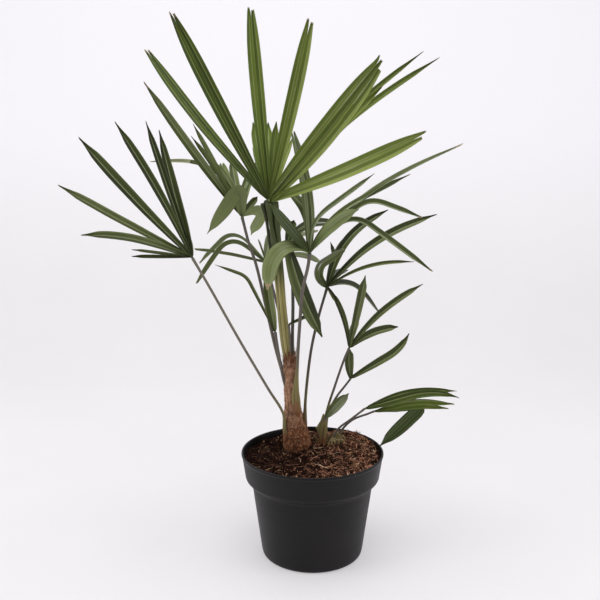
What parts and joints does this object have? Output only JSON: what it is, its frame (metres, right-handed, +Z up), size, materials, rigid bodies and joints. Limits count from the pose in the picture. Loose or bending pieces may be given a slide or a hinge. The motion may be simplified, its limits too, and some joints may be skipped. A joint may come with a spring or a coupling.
{
  "type": "potted windmill palm",
  "caption": "Young fan palm with a fibrous trunk, thin stalks, fan-shaped fronds of folded leaflets and a low side shoot, in a round black plant pot filled with soil.",
  "frame": {"origin": "centre of the pot's flat underside, where the pot stands on the floor", "axes": "+Z up along the pot's axis, -Y towards the side that the picture shows, +X to the right as seen from there"},
  "size_m": [0.5931, 0.4366, 0.8526],
  "materials": {
    "pot": "satin charcoal plastic",
    "soil": "damp peat with bark fibre",
    "trunk": "matt brown fibre",
    "shoot": "matt green-brown sheaths",
    "stalk": "smooth green stalk",
    "leaf_bright": "satin bright green leaf",
    "leaf_dark": "satin dark green leaf",
    "leaf_pale": "satin grey-green leaf"
  },
  "bodies": {
    "root": {"pot": "pot", "soil": "soil", "trunk": "trunk", "side_shoot": "shoot", "top_front_stalk": "stalk", "upper_left_stalk": "stalk", "far_left_stalk": "stalk", "back_left_stalk": "stalk", "narrow_stalk": "stalk", "front_right_stalk": "stalk", "drooping_stalk": "stalk", "small_spear_stalk": "stalk", "middle_right_stalk": "stalk", "low_right_stalk": "stalk", "low_pair_stalk": "stalk", "young_stalk": "stalk", "rim_upper_stalk": "stalk", "rim_lower_stalk": "stalk", "top_front_blade": "leaf_bright", "upper_left_blade": "leaf_dark", "far_left_blade": "leaf_dark", "back_left_blade": "leaf_dark", "narrow_blade": "leaf_dark", "front_right_blade": "leaf_pale", "drooping_blade": "leaf_dark", "small_spear_blade": "leaf_dark", "middle_right_blade": "leaf_dark", "low_right_blade": "leaf_dark", "low_pair_blade": "leaf_dark", "young_blade": "leaf_pale", "rim_upper_blade": "leaf_bright", "rim_lower_blade": "leaf_bright"}
  },
  "joints": []
}
